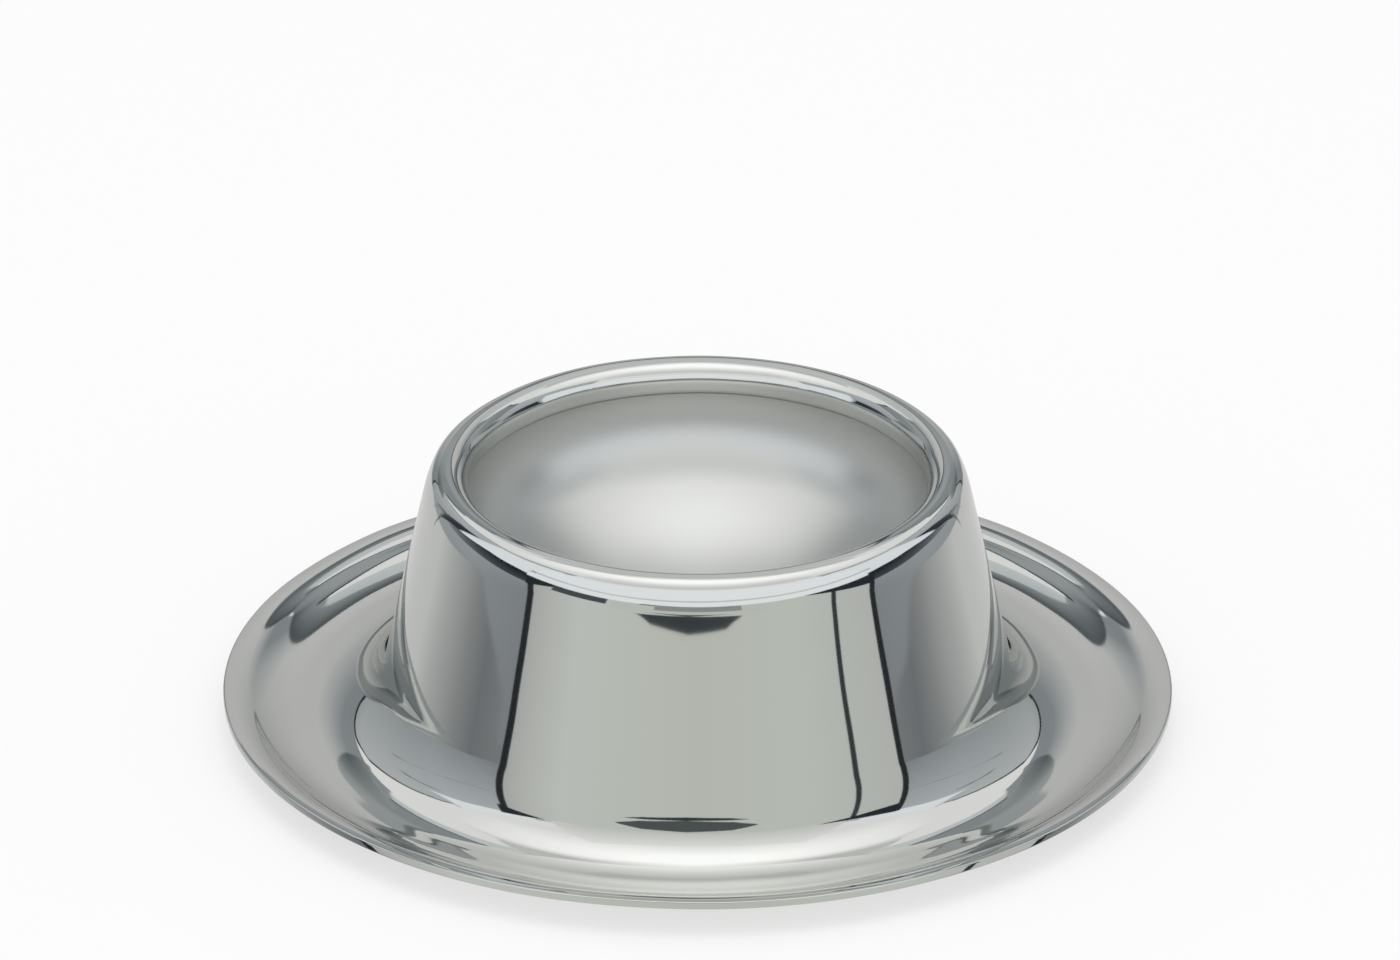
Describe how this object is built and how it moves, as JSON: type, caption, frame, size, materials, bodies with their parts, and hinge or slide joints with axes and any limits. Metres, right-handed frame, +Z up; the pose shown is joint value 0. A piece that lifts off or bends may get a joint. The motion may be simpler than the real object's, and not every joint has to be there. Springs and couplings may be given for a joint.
{
  "type": "egg cup",
  "caption": "Polished steel egg cup: a round bowl caught in the rolled lip of a low collar that flares out into a shallow saucer.",
  "frame": {"origin": "centre of the circle that the saucer stands on, on the table plane", "axes": "+Z up along the axis of the cup; the cup is round, so X and Y are free"},
  "size_m": [0.085, 0.085, 0.0248],
  "materials": {
    "saucer_steel": "mirror-polished stainless steel",
    "bowl_steel": "polished stainless steel, a little duller than the outside"
  },
  "bodies": {
    "root": {"saucer_shell": "saucer_steel", "egg_bowl": "bowl_steel"}
  },
  "joints": []
}
